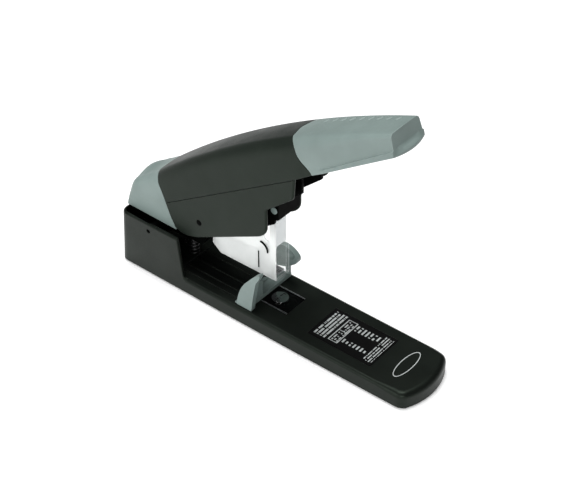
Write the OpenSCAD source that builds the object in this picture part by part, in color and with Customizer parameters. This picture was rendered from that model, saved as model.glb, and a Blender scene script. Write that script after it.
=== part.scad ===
// Heavy-duty desk stapler with a long flat base, raised lever handle and clear staple housing.
// X runs along the base towards the nose, Z is up, and the origin is under the middle of the base.

/* [Base] */
// Length of the base
base_len = 298; // [294:1:302]
// Width of the base
base_w = 62; // [61:0.5:64]
// Height of the flat plate above the table
base_h = 15.2; // [15:0.1:15.4]
// Length of the rear block that carries the pivot
block_len = 66; // [64:1:68]
// Height of the rear block
block_h = 53.2; // [52.6:0.1:53.4]
// Wall thickness of the base moulding
base_wall = 2.8; // [2.4:0.1:3]

/* [Handle] */
// Width over the handle covers
handle_w = 44; // [43:0.5:44]
// Wall thickness of the handle covers
cover_wall = 2.5; // [2:0.1:2.6]
// Radius on the long top edges of the handle
crown_r = 10; // [8:1:12]
// Radius of the long arc along the top of the handle
top_arc_r = 766; // [740:1:800]

/* [Magazine] */
// Outside width of the clear housing
housing_w = 16; // [15.8:0.1:16]
// Height of the housing's lower edge above the table at rest
housing_z = 39.5; // [39.2:0.1:39.8]
// Wall thickness of the clear housing
housing_wall = 1.4; // [1.2:0.1:1.4]

/* [Motion] */
// Downward swing of the handle, in degrees
handle_swing = 25.5; // [24:0.5:25.5]
// Downward swing of the magazine, in degrees
magazine_swing = 10.3; // [9:0.1:10.3]
// Travel of the driver inside the magazine
drive_stroke = 31.5; // [30:0.5:31.5]

/* [Hidden] */
$fn = 48;

// Driving points, all as [x, z] in the plane of symmetry
rear_x = -base_len / 2;
nose_x = base_len / 2;
half_w = base_w / 2;
pivot = [rear_x + 34, 46];
top_rear = [-112, 101.3];
top_front = [108.5, 228];
parting_rear = [-101, 76.6];
parting_front = [31, 158.6];
grip_low = [46.5, 169.3];
rivet_at = [-65.5, 73.5];
front_pin_at = [4.6, 113.5];
drive_pin_at = [-7.4, 110];
lever_pin_at = [[14, 163.5], [-2, 155.5]];
cover_screw_at = [-38, 104];
magazine_rivet_at = [[-60.6, 59.6], [-57.9, 63.4]];

// Play between neighbouring mouldings, and the running play of a shaft in its bore
gap = 0.2;
run = 0.05;

// Shaft radii
pivot_r = 4;
rivet_r = 2;
front_pin_r = 3;
drive_pin_r = 2.5;
lever_pin_r = 2.5;
cover_screw_r = 1.6;
magazine_rivet_r = 1.5;
rod_r = 1.5;
rod_z = 51;

// Sideways layers of the head, from the inside out
handle_half = handle_w / 2;
housing_half = housing_w / 2;
arm_in = housing_half + 0.1;
arm_out = arm_in + 1.5;
frame_in = 10.4;
frame_out = 12.9;

// Heights in the throat
floor_z = base_h - 1.2;
skirt_z = 1;
bottom_plate_z = 1.4;
bottom_plate_t = 1.2;
boss_at = [[-138, 18], [-138, -18], [-40, 0], [60, 0], [130, 0]];
foot_at = [[-126, 20], [-126, -20], [126, 20], [126, -20]];

// Nose of the base: a wide arc that runs into small corner arcs
nose_r = 56;
nose_corner_r = 10;
rear_corner_r = 8;

function bezier(a, b, c, n = 8) =
    [for (i = [0:n]) let (t = i / n) (1 - t) * (1 - t) * a + 2 * t * (1 - t) * b + t * t * c];
function turned(p, a) = [p.x * cos(a) - p.y * sin(a), p.x * sin(a) + p.y * cos(a)];
function chord_normal(a, b) = let (u = (b - a) / norm(b - a)) [-u.y, u.x];
function arc_centre(a, b, r) =
    (a + b) / 2 - chord_normal(a, b) * sqrt(r * r - pow(norm(b - a) / 2, 2));
top_centre = arc_centre(top_rear, top_front, top_arc_r);
function top_angle(x) = acos((x - top_centre.x) / top_arc_r);
// Points along the top arc at a depth below it, from x0 to x1
function below_top(x0, x1, depth, n = 10) = [for (i = [0:n]) let (x = x0 + (x1 - x0) * i / n)
    [x, top_centre.y + sqrt(pow(top_arc_r - depth, 2) - pow(x - top_centre.x, 2))]];
// Place of the driver pin in the handle's own frame, as the handle goes from rest (0) to closed (1)
function drive_pin_path(t) =
    pivot + turned(drive_pin_at - pivot - [0, drive_stroke * t], (handle_swing - magazine_swing) * t);

// Outline of the curved slot in which the driver pin runs, with round ends
function drive_slot(r, n = 6) = let (
    p = [for (i = [0:n]) drive_pin_path(i / n)],
    side = [for (i = [0:n]) chord_normal(p[max(i - 1, 0)], p[min(i + 1, n)]) * r])
    concat([for (i = [0:n]) p[i] + side[i]],
           [for (a = [-30:-30:-150]) p[n] + turned(side[n], a)],
           [for (i = [n:-1:0]) p[i] - side[i]],
           [for (a = [150:-30:30]) p[0] + turned(side[0], a)]);

// ---------- shared shapes ----------

// A side profile given as [x, z] points, extruded across the stapler from y0 to y1
module slab(points, y0, y1) {
    translate([0, y1, 0]) rotate([90, 0, 0]) linear_extrude(y1 - y0) polygon(points);
}

// A round bar across the stapler, centred at p = [x, z]
module cross_bar(p, r, y0, y1) {
    translate([p.x, y1, p.y]) rotate([90, 0, 0]) cylinder(r = r, h = y1 - y0);
}

// Everything repeated on the far side
module both_sides() {
    children();
    mirror([0, 1, 0]) children();
}

// Plan outline of the base, drawn in by a wall thickness
module base_plan(inset = 0) {
    hw = half_w - inset;
    arc = nose_r - inset;
    arc_x = nose_x - nose_r;
    corner = nose_corner_r - inset;
    reach = nose_r - nose_corner_r;
    corner_y = half_w - nose_corner_r;
    corner_x = arc_x + sqrt(reach * reach - corner_y * corner_y);
    wedge = atan2(corner_y, corner_x - arc_x);
    rc = max(rear_corner_r - inset, 1);
    rear = rear_x + inset;
    translate([rear + rc, -hw]) square([corner_x - rear - rc, 2 * hw]);
    translate([rear, -hw + rc]) square([rc + 1, 2 * (hw - rc)]);
    for (s = [-1, 1]) {
        translate([rear + rc, s * (hw - rc)]) circle(rc);
        translate([corner_x, s * corner_y]) circle(corner);
    }
    intersection() {
        translate([arc_x, 0]) circle(arc, $fn = 180);
        polygon([[arc_x, 0], [arc_x + 80 * cos(wedge), -80 * sin(wedge)],
                 [arc_x + 80 * cos(wedge), 80 * sin(wedge)]]);
    }
}

// Solid below the long top arc of the handle, with rounded long edges, drawn in by a wall
module crowned_bar(inset, half, round_r, depth = 115) {
    hw = half - inset;
    r = max(round_r - inset, 1);
    top = top_arc_r - inset;
    a0 = top_angle(135);
    a1 = top_angle(-165);
    translate([top_centre.x, 0, top_centre.y]) rotate([90, 0, 0]) rotate([0, 0, a0])
        rotate_extrude(angle = a1 - a0, $fn = 720) {
            translate([top_arc_r - depth, -hw]) square([depth - inset - r, 2 * hw]);
            translate([top_arc_r - depth, -hw + r]) square([depth - inset, 2 * (hw - r)]);
            for (s = [-1, 1]) translate([top - r, s * (hw - r)]) circle(r);
        }
}

// Flat strip that follows the top arc at a depth below it, between two x positions
module arc_strip(depth0, depth1, half, x0, x1) {
    a0 = top_angle(x1);
    a1 = top_angle(x0);
    translate([top_centre.x, 0, top_centre.y]) rotate([90, 0, 0]) rotate([0, 0, a0])
        rotate_extrude(angle = a1 - a0, $fn = 720)
            translate([top_arc_r - depth1, -half]) square([depth1 - depth0, 2 * half]);
}

// Coil of round wire along +Z, with an optional straight leg at each end
module coil(r, wire, length, turns, legs = [0, 0], sides = 6, steps = 14) {
    n = ceil(turns * steps);
    ring = [for (k = [0:sides - 1]) 360 * k / sides];
    function loop(a, z, along) = [for (b = ring)
        [(r + wire * cos(b)) * cos(a) - along * sin(a), (r + wire * cos(b)) * sin(a) + along * cos(a),
         z + wire * sin(b)]];
    loops = concat(
        legs[0] > 0 ? [loop(0, wire, -legs[0])] : [],
        [for (i = [0:n]) loop(360 * turns * i / n, wire + (length - 2 * wire) * i / n, 0)],
        legs[1] > 0 ? [loop(360 * turns, length - wire, legs[1])] : []);
    m = len(loops) - 1;
    walls = [for (i = [0:m - 1]) for (k = [0:sides - 1]) let (k2 = (k + 1) % sides)
        [i * sides + k, (i + 1) * sides + k, (i + 1) * sides + k2, i * sides + k2]];
    ends = [[for (k = [0:sides - 1]) k], [for (k = [sides - 1:-1:0]) m * sides + k]];
    polyhedron([for (l = loops) for (p = l) p], concat(walls, ends), convexity = 10);
}

// ---------- base ----------

module base_shell() {
    block_x = rear_x + block_len;
    color([0.20, 0.22, 0.21]) difference() {
        union() {
            difference() {
                union() {
                    translate([0, 0, skirt_z]) linear_extrude(base_h - skirt_z) base_plan();
                    intersection() {
                        translate([0, 0, skirt_z]) linear_extrude(block_h - skirt_z) base_plan();
                        slab([[rear_x, 0], [rear_x, block_h + 1], [block_x, block_h + 1],
                              [block_x + 5, base_h], [block_x + 5, 0]], -half_w, half_w);
                    }
                }
                translate([0, 0, -1]) linear_extrude(base_h - base_wall + 1) base_plan(base_wall);
            }
            for (p = boss_at) translate([p.x, p.y, bottom_plate_z + bottom_plate_t])
                cylinder(r = 4, h = base_h - base_wall - bottom_plate_z - bottom_plate_t + 0.5);
        }
        // hollow between the side walls of the block, open at the top and towards the throat
        translate([rear_x + 3.2, -half_w + 3.2, base_h])
            cube([block_len + 10, base_w - 6.4, block_h]);
        // recessed throat floor and anvil pocket
        translate([block_x - 6, -23, floor_z]) cube([-14 - block_x + 6, 46, 5]);
        translate([-11, -12.2, floor_z]) cube([27, 24.4, 5]);
        translate([42, -18.7, base_h - 0.3]) cube([61, 37.4, 1]);
        cross_bar(pivot, pivot_r + run / 2, -half_w + 1.4, half_w - 1.4);
        cross_bar(pivot, 1.9, -half_w - 1, half_w + 1);
        for (p = boss_at) translate([p.x, p.y, 0]) cylinder(r = 1.5, h = 11);
        translate([-0.5, 0, 0]) cylinder(r = 2.1, h = base_h);
    }
}

module base_plate() {
    color([0.45, 0.46, 0.46]) difference() {
        translate([0, 0, bottom_plate_z]) linear_extrude(bottom_plate_t) base_plan(base_wall + gap);
        for (p = boss_at) translate([p.x, p.y, 0]) cylinder(r = 1.8, h = 5);
        translate([-0.5, 0, 0]) cylinder(r = 4.5, h = 5);
    }
}

module rubber_feet() {
    color([0.08, 0.08, 0.08]) for (p = foot_at) translate([p.x, p.y, 0]) cylinder(r = 7, h = bottom_plate_z);
}

module base_screws() {
    color([0.7, 0.7, 0.7]) for (p = boss_at) translate([p.x, p.y, 0]) difference() {
        union() {
            translate([0, 0, 0.5]) cylinder(r = 3.2, h = bottom_plate_z - 0.5);
            translate([0, 0, 0.5]) cylinder(r = 1.45, h = 9);
        }
        for (a = [0, 90]) rotate([0, 0, a]) translate([-1.8, -0.3, 0]) cube([3.6, 0.6, 0.9]);
    }
}

module guide_rails() {
    x0 = rear_x + block_len - 5.5;
    len = -15 - x0;
    color([0.24, 0.25, 0.25]) {
        translate([x0, -22.5, floor_z]) cube([len, 45, 0.4]);
        for (y = [-20, -13, -3, 9, 19]) translate([x0, y - 1, floor_z]) cube([len, 2, 1.2]);
    }
}

module anvil_tray() {
    color([0.07, 0.07, 0.07]) translate([0, 0, floor_z]) difference() {
        union() {
            translate([-10.8, -12, 0]) cube([26.6, 24, 1]);
            for (y = [-12, 11.2]) translate([-10.8, y, 0]) cube([26.6, 0.8, 1.6]);
        }
        translate([-0.5, 0, -1]) cylinder(r = 2.1, h = 5);
    }
}

module anvil_disc() {
    color([0.5, 0.5, 0.5]) translate([-0.5, 0, floor_z + 1]) difference() {
        cylinder(r = 7, h = 1.4);
        translate([-1.2, -6, 0.8]) cube([2.4, 5, 1]);
        translate([-1.2, 1, 0.8]) cube([2.4, 5, 1]);
        translate([0, 0, -1]) cylinder(r = 1.5, h = 2);
    }
}

module anvil_screw() {
    color([0.7, 0.7, 0.7]) translate([-0.5, 0, 0]) {
        translate([0, 0, 11.2]) cylinder(r = 3.6, h = base_h - base_wall - 11.2);
        translate([0, 0, 11.2]) cylinder(r = 1.45, h = floor_z + 1.9 - 11.2);
    }
}

module instruction_panel() {
    color([0.05, 0.05, 0.05]) translate([42.1, -18.6, base_h - 0.3]) cube([60.8, 37.2, 0.35]);
}

module badge() {
    outer = [5.4, 16.8];
    line = 0.6;
    color([0.75, 0.78, 0.77]) translate([123.5, 0.6, base_h]) linear_extrude(0.3) difference() {
        polygon([for (a = [0:7.5:352.5]) [outer.x * cos(a), outer.y * sin(a)]]);
        polygon([for (a = [0:7.5:352.5]) [(outer.x - line) * cos(a), (outer.y - line) * sin(a)]]);
    }
}

module pivot_pin() {
    color([0.6, 0.6, 0.6]) cross_bar(pivot, pivot_r, -half_w + 1.5, half_w - 1.5);
}

module pivot_clips() {
    color([0.3, 0.3, 0.3]) for (s = [-1, 1]) difference() {
        cross_bar(pivot, 6.5, s * 15.2 - 0.6, s * 15.2 + 0.6);
        cross_bar(pivot, pivot_r, s * 15.2 - 1, s * 15.2 + 1);
    }
}

module return_spring() {
    color([0.6, 0.6, 0.6]) translate([pivot.x, -6, pivot.y]) rotate([-90, 0, 0])
        coil(7.6, 1.1, 12, 4, [26, 29]);
}

module magazine_spring() {
    color([0.65, 0.65, 0.65]) translate([-93, 0, base_h]) coil(4.5, 0.7, 22.4, 6);
}

// ---------- paper guide ----------

// Side profiles of the two upright tabs of the guide
near_tab = concat([[-23, 15.8]], bezier([-22.5, 20], [-20, 36], [-9.3, 46.8]), [[-5.3, 51.7]],
                  bezier([-1.4, 55.4], [3, 59], [0.5, 52.5], 5), [[-3, 46.3], [-7.5, 19.1], [-8, 15.8]]);
far_tab = concat([[-23, 24]], bezier([-23.5, 28], [-25.5, 43], [-19, 47.6]),
                 bezier([-19, 47.6], [-9, 49.4], [-2.2, 42]), bezier([-2.2, 42], [0, 38.6], [-3.2, 34.6], 5),
                 [[-12.3, 27.4]]);

module paper_guide() {
    wall_x = -14.2;
    wall_t = 3.2;
    tab_in = 22.8;
    tab_out = 27.6;
    foot_z = 15.8;
    color([0.56, 0.63, 0.60]) difference() {
        union() {
            translate([wall_x, -tab_out + 0.5, foot_z]) cube([wall_t, 2 * tab_out - 1, 3]);
            translate([-25, -tab_out + 0.5, foot_z]) cube([11, 2 * tab_out - 1, 1.2]);
            translate([-25, -10, foot_z]) cube([3, 20, 3]);
            // runner that sits between two floor rails
            translate([-25, -1.6, floor_z + 0.7]) cube([10.4, 9.2, 2]);
            // near tab stands on the bar, far tab stands on a thin post
            slab(near_tab, -tab_out, -tab_in);
            slab(far_tab, tab_in, tab_out);
            translate([wall_x, 23.7, foot_z]) cube([wall_t, 3, 14]);
            // near half of the front wall is tall, up to the web of the near tab
            translate([wall_x + wall_t, 0, 0]) rotate([90, 0, -90]) linear_extrude(wall_t)
                polygon([[-0.1, foot_z], [26, foot_z], [26, 40], [23.6, 37], [22.4, 34.6], [10, 34.6],
                         [9.2, 33.6], [9.2, 19.4], [-0.1, 19.4]]);
        }
        // finger dish in the far tab
        translate([-8.5, 20.6, 41.5]) sphere(r = 5);
    }
}

// ---------- magazine ----------

module housing_outline(inset) {
    polygon([[-56, housing_z], [2 - inset, housing_z], [2 - inset, 103], [-12, 103],
             [-64 + inset, 62], [-64 + inset, 46 + inset / 2]]);
}

module magazine_housing() {
    slot_r = drive_pin_r + 0.4;
    slot_low = drive_pin_at.y - drive_stroke;
    color([0.85, 0.88, 0.87, 0.5]) difference() {
        translate([0, housing_half, 0]) rotate([90, 0, 0]) linear_extrude(housing_w) housing_outline(0);
        translate([0, housing_half - housing_wall, -1]) rotate([90, 0, 0])
            linear_extrude(housing_w - 2 * housing_wall)
                polygon([[-70, 0], [0.5, 0], [0.5, 110], [-64 + housing_wall, 110], [-64 + housing_wall, 46],
                         [-70, 46]]);
        cross_bar([drive_pin_at.x, slot_low], slot_r, -20, 20);
        translate([drive_pin_at.x - slot_r, -20, slot_low]) cube([2 * slot_r, 40, 60]);
        for (p = magazine_rivet_at) cross_bar(p, magazine_rivet_r, -20, 20);
    }
}

module magazine_arm() {
    plate = [[-115, 38], [-100, 37.8], [-74, 41], [-68, 52], [-62, 56.2], [-54, 60], [-54, 67], [-66, 66],
             [-115, 54]];
    color([0.12, 0.12, 0.12]) difference() {
        union() {
            both_sides() {
                slab(plate, arm_in, arm_out);
                cross_bar(pivot, 8, arm_in, arm_out);
            }
            translate([-100, -arm_in - 0.5, 38.2]) cube([24, 2 * arm_in + 1, 2.6]);
        }
        cross_bar(pivot, pivot_r + run, -20, 20);
        for (p = magazine_rivet_at) cross_bar(p, magazine_rivet_r, -20, 20);
    }
}

module magazine_block() {
    hw = housing_half - housing_wall;
    color([0.15, 0.15, 0.15]) difference() {
        slab([[-62.5, 46.5], [-57.5, 41.6], [-56, 41.6], [-56, 56], [-54.5, 57.5], [-54.5, 67.5],
              [-62.5, 62.4]], -hw, hw);
        for (p = magazine_rivet_at) cross_bar(p, magazine_rivet_r, -20, 20);
        translate([-70, 0, rod_z]) rotate([0, 90, 0]) cylinder(r = rod_r, h = 20);
    }
}

module magazine_floor() {
    hw = housing_half - housing_wall;
    color([0.7, 0.7, 0.7]) difference() {
        translate([-55.5, -hw, housing_z]) cube([53.5, 2 * hw, 1.6]);
        translate([-56, -hw + 0.8, housing_z + 0.8]) cube([60, 2 * hw - 1.6, 2]);
    }
}

module pusher_rod() {
    color([0.75, 0.75, 0.75]) translate([-62, 0, rod_z]) rotate([0, 90, 0]) cylinder(r = rod_r, h = 47);
}

module magazine_rivets() {
    color([0.75, 0.75, 0.75]) for (p = magazine_rivet_at)
        cross_bar(p, magazine_rivet_r, -arm_out - 0.4, arm_out + 0.4);
}

module housing_clip() {
    color([0.2, 0.2, 0.2]) translate([-12, -housing_half - 0.8, 65.6]) rotate([90, 0, 0])
        rotate_extrude(angle = 105) translate([6, 0]) circle(0.7, $fn = 24);
}

module pusher() {
    hw = housing_half - housing_wall - 0.2;
    color([0.25, 0.26, 0.26]) difference() {
        union() {
            translate([-17.3, -hw, 41.4]) cube([1.2, 2 * hw, 21]);
            translate([-28.5, 0, rod_z]) rotate([0, 90, 0]) cylinder(r = 3, h = 11.5);
        }
        translate([-40, 0, rod_z]) rotate([0, 90, 0]) cylinder(r = rod_r + run, h = 40);
    }
}

module pusher_spring() {
    color([0.7, 0.7, 0.7]) translate([-55.8, 0, rod_z]) rotate([0, 90, 0]) coil(2.4, 0.3, 27.1, 8);
}

// ---------- driver ----------

module driver_blade() {
    hw = housing_half - housing_wall - 0.2;
    low = housing_z + drive_stroke + 0.3;
    color([0.8, 0.8, 0.8]) translate([-0.9, -hw, low]) cube([1.2, 2 * hw, 118 - low]);
}

module driver_head() {
    hw = housing_half - housing_wall - 0.2;
    color([0.1, 0.1, 0.1]) difference() {
        translate([-13, -hw, 104]) cube([12.1, 2 * hw, 12]);
        cross_bar(drive_pin_at, drive_pin_r, -20, 20);
    }
}

module driver_pin() {
    color([0.5, 0.52, 0.52]) cross_bar(drive_pin_at, drive_pin_r, -frame_out - 0.6, frame_out + 0.6);
}

// ---------- handle ----------

// Side profile of the two steel side plates of the handle
function frame_profile() = concat(
    [[-124, 50], [-118, 37], [-108, 38.5], [-88, 58.5], [-57, 65], [-31, 78], [-10, 90], [-3, 95],
     [4.5, 100.3], [5, 104], [9, 106], [9, 121.5], [31, 141], [31, 150]],
    below_top(27.5, -106, 8));

module handle_frame() {
    color([0.06, 0.06, 0.06]) difference() {
        union() {
            both_sides() {
                slab(frame_profile(), frame_in, frame_out);
                cross_bar(pivot, 9, frame_in, frame_out);
            }
            slab(concat(below_top(-96, 26, 9), below_top(26, -96, 11)), -frame_in - 1, frame_in + 1);
            // front wall that joins the two plates
            slab([[6.4, 104.7], [9, 106], [9, 121.5], [6.4, 119.2]], -frame_out + 1, frame_out - 1);
        }
        cross_bar(pivot, pivot_r + run, -20, 20);
        cross_bar(rivet_at, rivet_r, -20, 20);
        cross_bar(front_pin_at, front_pin_r, -20, 20);
        cross_bar(cover_screw_at, cover_screw_r, -20, 20);
        for (p = lever_pin_at) cross_bar(p, lever_pin_r, -20, 20);
        slab(drive_slot(drive_pin_r + 0.5), -20, 20);
        cross_bar([-1.5, 100.5], 1.3, -20, 20);
    }
}

// Edge between the rear cap and the black covers, from the crown down
rear_edge = concat(bezier([-115, 106], [-105, 95], parting_rear, 6),
                   bezier(parting_rear, [-97, 64], [-90.5, 55], 4));
// Edge between the black cover and the grip, from the crown down
grip_edge = [[20, 190], [30.5, 186], grip_low];

module handle_cover() {
    region = concat([[-115, 140]], bezier([-115, 106], [-105, 95], parting_rear, 6),
                    [parting_front, grip_low], [grip_edge[1], grip_edge[0], [20, 230]]);
    color([0.20, 0.22, 0.21]) intersection() {
        difference() {
            crowned_bar(0, handle_half, crown_r);
            crowned_bar(cover_wall, handle_half, crown_r);
        }
        slab(region, -40, 40);
    }
}

// Outline of the lower side covers, below the parting line
function side_cover_profile() = let (drop = [0, -gap]) concat(
    [parting_rear + drop], bezier(parting_rear + drop, [-97, 64], [-90.5, 55], 4),
    bezier([-90.5, 55], [-84, 50.5], [-68, 57], 6),
    bezier([-5, 88.8], [4, 93.6], [4, 102], 6),
    [[4, 118], [29, 139.5], parting_front + drop]);

module side_cover() {
    inner = handle_half - cover_wall;
    difference() {
        union() {
            slab(side_cover_profile(), inner, handle_half);
            cross_bar(rivet_at, 4.5, frame_out + 0.1, inner);
            cross_bar(cover_screw_at, 4.5, frame_out + 0.1, inner);
        }
        cross_bar(rivet_at, rivet_r, 0, 40);
        cross_bar(cover_screw_at, cover_screw_r, 0, inner);
    }
}

module side_cover_right() { color([0.21, 0.23, 0.22]) mirror([0, 1, 0]) side_cover(); }
module side_cover_left() { color([0.21, 0.23, 0.22]) side_cover(); }

module cover_rivets() {
    color([0.25, 0.26, 0.26]) both_sides() {
        cross_bar(rivet_at, rivet_r, frame_in, handle_half);
        cross_bar(rivet_at, 2.7, handle_half, handle_half + 0.5);
    }
}

module front_pin() {
    color([0.55, 0.58, 0.57]) cross_bar(front_pin_at, front_pin_r, -frame_out - 0.8, frame_out + 0.8);
}

module lever_bar() {
    color([0.4, 0.4, 0.4]) difference() {
        arc_strip(12, 20, 8, -8, 98);
        for (p = lever_pin_at) cross_bar(p, lever_pin_r, -20, 20);
    }
}

module lever_pins() {
    color([0.7, 0.7, 0.7]) for (p = lever_pin_at) cross_bar(p, lever_pin_r, -frame_out - 0.5, frame_out + 0.5);
}

// Plan outline of the grip: tapered sides that end in a shallow rounded front
module grip_plan(inset) {
    tip_x = 110;
    tip_half = 17;
    lip_r = 24.1;
    intersection() {
        polygon([[5, -handle_half + inset - 0.6], [tip_x + 8, -tip_half + 0.3 + inset],
                 [tip_x + 8, tip_half - 0.3 - inset], [5, handle_half - inset + 0.6]]);
        union() {
            translate([tip_x - 17.1, 0]) circle(lip_r - inset);
            translate([0, -40]) square([tip_x - 17.1, 80]);
        }
    }
}

module grip() {
    shift = [gap, 0];
    region = [grip_edge[0] + shift, grip_edge[1] + shift, grip_low + shift, [109, 209.3], [118, 212],
              [118, 215.5], [112.5, 217.5], [108.7, 232], [20 + gap, 230]];
    hollow = [[0, 240], [0, 120], [60, 150], [104, 190], [109.6, 216], [105.6, 230]];
    color([0.56, 0.63, 0.60]) difference() {
        intersection() {
            crowned_bar(0, handle_half, crown_r + 3);
            slab(region, -40, 40);
            linear_extrude(300) grip_plan(0);
        }
        intersection() {
            crowned_bar(2.6, handle_half, crown_r + 3);
            slab(hollow, -40, 40);
            linear_extrude(300) grip_plan(2.6);
        }
    }
}

// Side profile of the grey rear cap, drawn in by t
function cap_profile(t) = concat(
    [[-146 + t, 54.2]], [[-142.8 + t, 78]], bezier([-142.8 + t, 78], [-141 + t, 86.5 - t], [-132, 89.6 - t], 5),
    [[-115.4, 101 - t]],
    [for (p = rear_edge) if (p.y < 100) p - [gap + 0.2, 0]], [[-91, 54.2]]);

module rear_cap() {
    color([0.56, 0.63, 0.60]) difference() {
        slab(cap_profile(0), -handle_half, handle_half);
        slab([[-146 + cover_wall, 40], [-142.8 + cover_wall, 78], [-134, 86], [-112, 98], [-80, 98], [-80, 40]],
             -handle_half + cover_wall, handle_half - cover_wall);
    }
}

module cover_screws() {
    color([0.3, 0.3, 0.3]) both_sides() {
        cross_bar(cover_screw_at, cover_screw_r, frame_in, handle_half - cover_wall);
        cross_bar(cover_screw_at, 2.8, frame_in - 0.7, frame_in);
    }
}

base_shell();
base_plate();
rubber_feet();
base_screws();
guide_rails();
anvil_tray();
anvil_disc();
anvil_screw();
instruction_panel();
badge();
pivot_pin();
pivot_clips();
return_spring();
magazine_spring();
paper_guide();
magazine_housing();
magazine_arm();
magazine_block();
magazine_floor();
pusher_rod();
magazine_rivets();
housing_clip();
pusher();
pusher_spring();
driver_blade();
driver_head();
driver_pin();
handle_frame();
handle_cover();
side_cover_right();
side_cover_left();
cover_rivets();
front_pin();
lever_bar();
lever_pins();
grip();
rear_cap();
cover_screws();
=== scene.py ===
"""Looks of a heavy-duty desk stapler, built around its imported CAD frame.

Lengths in the mesh code are millimetres in the frame's own axes: X along the base towards the nose,
Y to the stapler's left, Z up. Meshes are written in metres.
"""
import math

import bmesh
import bpy
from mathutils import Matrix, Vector


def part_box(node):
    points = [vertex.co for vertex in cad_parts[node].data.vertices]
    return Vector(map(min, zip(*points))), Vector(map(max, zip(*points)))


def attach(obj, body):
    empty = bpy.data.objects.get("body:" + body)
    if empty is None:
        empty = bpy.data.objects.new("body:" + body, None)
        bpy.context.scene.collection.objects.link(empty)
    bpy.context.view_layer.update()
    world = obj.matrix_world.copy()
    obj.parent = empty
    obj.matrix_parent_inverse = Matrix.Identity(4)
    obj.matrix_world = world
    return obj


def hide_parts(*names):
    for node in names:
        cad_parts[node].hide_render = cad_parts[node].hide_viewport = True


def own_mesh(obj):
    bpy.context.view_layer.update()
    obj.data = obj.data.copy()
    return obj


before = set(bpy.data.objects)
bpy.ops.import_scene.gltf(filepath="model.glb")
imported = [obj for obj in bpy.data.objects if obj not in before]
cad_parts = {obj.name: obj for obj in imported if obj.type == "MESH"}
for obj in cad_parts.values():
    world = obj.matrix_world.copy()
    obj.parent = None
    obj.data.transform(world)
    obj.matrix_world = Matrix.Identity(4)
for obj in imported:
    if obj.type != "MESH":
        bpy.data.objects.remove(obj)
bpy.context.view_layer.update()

MM = 0.001


def corners(node):
    """Lowest and highest corner of a CAD node, in millimetres."""
    low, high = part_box(node)
    return low / MM, high / MM


# ---------- sizes taken from the frame ----------

base_low, base_high = corners("base_shell")
floor_low = corners("guide_rails")[0]
tray_low, tray_high = corners("anvil_tray")
panel_low, panel_high = corners("instruction_panel")
pivot_low, pivot_high = corners("pivot_pin")
rivet_low, rivet_high = corners("cover_rivets")

PANEL_SUNK = 0.3     # printed panel below the top of the base
BLOCK_LENGTH = 66    # raised rear block, along X
SHELL = 2.4          # wall of the handle's shells
SEAM = 0.3           # gap between neighbouring shells
HALF_W = corners("handle_cover")[1].y
BASE_TOP = panel_low.z + PANEL_SUNK
BASE_HALF = base_high.y
BLOCK_TOP = base_high.z
BLOCK_FRONT = base_low.x + BLOCK_LENGTH
PIVOT = Vector(((pivot_low.x + pivot_high.x) / 2, 0, (pivot_low.z + pivot_high.z) / 2))
RIVET = Vector(((rivet_low.x + rivet_high.x) / 2, 0, (rivet_low.z + rivet_high.z) / 2))

# Long arc along the top of the handle: two points on it and its radius
TOP_REAR = Vector((-112, 101.3))
TOP_FRONT = Vector((108.5, 228))
TOP_R = 766.0
# Lower edge of the upper shell and of the grip, from the cap to the tip
LOWER_EDGE = [(-101, 76.6), (31, 158.6), (46.5, 169.3), (109, 209.3)]


# ---------- small helpers ----------

def lerp(a, b, t):
    return a + (b - a) * t


def smooth(t):
    t = max(0.0, min(1.0, t))
    return t * t * (3 - 2 * t)


def along(points, x):
    """Height of a polyline of (x, z) points at x, carried on past its ends."""
    for (x0, z0), (x1, z1) in zip(points, points[1:]):
        if x <= x1 or (x1, z1) == points[-1]:
            return lerp(z0, z1, (x - x0) / (x1 - x0))
    return points[-1][1]


def stations(values, t):
    """Smooth value through (t, value) pairs."""
    for (t0, v0), (t1, v1) in zip(values, values[1:]):
        if t <= t1:
            return lerp(v0, v1, smooth((t - t0) / (t1 - t0)) * 0.4 + (t - t0) / (t1 - t0) * 0.6)
    return values[-1][1]


def bezier(a, b, c, n=10):
    """Curve from a to c that leans towards b."""
    a, b, c = Vector(a), Vector(b), Vector(c)
    points = []
    for i in range(n + 1):
        t = i / n
        points.append((1 - t) ** 2 * a + 2 * t * (1 - t) * b + t * t * c)
    return points


def curve_through(points, n=8):
    """Catmull-Rom curve through points."""
    p = [Vector(q) for q in points]
    p = [2 * p[0] - p[1]] + p + [2 * p[-1] - p[-2]]
    out = []
    for i in range(1, len(p) - 2):
        for k in range(n):
            t = k / n
            out.append(0.5 * (2 * p[i] + (p[i + 1] - p[i - 1]) * t
                              + (2 * p[i - 1] - 5 * p[i] + 4 * p[i + 1] - p[i + 2]) * t ** 2
                              + (3 * p[i] - p[i - 1] - 3 * p[i + 1] + p[i + 2]) * t ** 3))
    return out + [p[-2]]


def resample(points, n):
    """n + 1 points spaced evenly along a polyline."""
    lengths = [(b - a).length for a, b in zip(points, points[1:])]
    total = sum(lengths)
    out, i, done = [], 0, 0.0
    for k in range(n + 1):
        want = total * k / n
        while i < len(lengths) - 1 and done + lengths[i] < want:
            done += lengths[i]
            i += 1
        out.append(points[i].lerp(points[i + 1], min(1.0, (want - done) / lengths[i])))
    return out


def new_object(name, bm):
    """Object from a bmesh in millimetres."""
    bmesh.ops.recalc_face_normals(bm, faces=bm.faces)
    mesh = bpy.data.meshes.new(name)
    for v in bm.verts:
        v.co *= MM
    bm.to_mesh(mesh)
    bm.free()
    obj = bpy.data.objects.new(name, mesh)
    bpy.context.scene.collection.objects.link(obj)
    return obj


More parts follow.
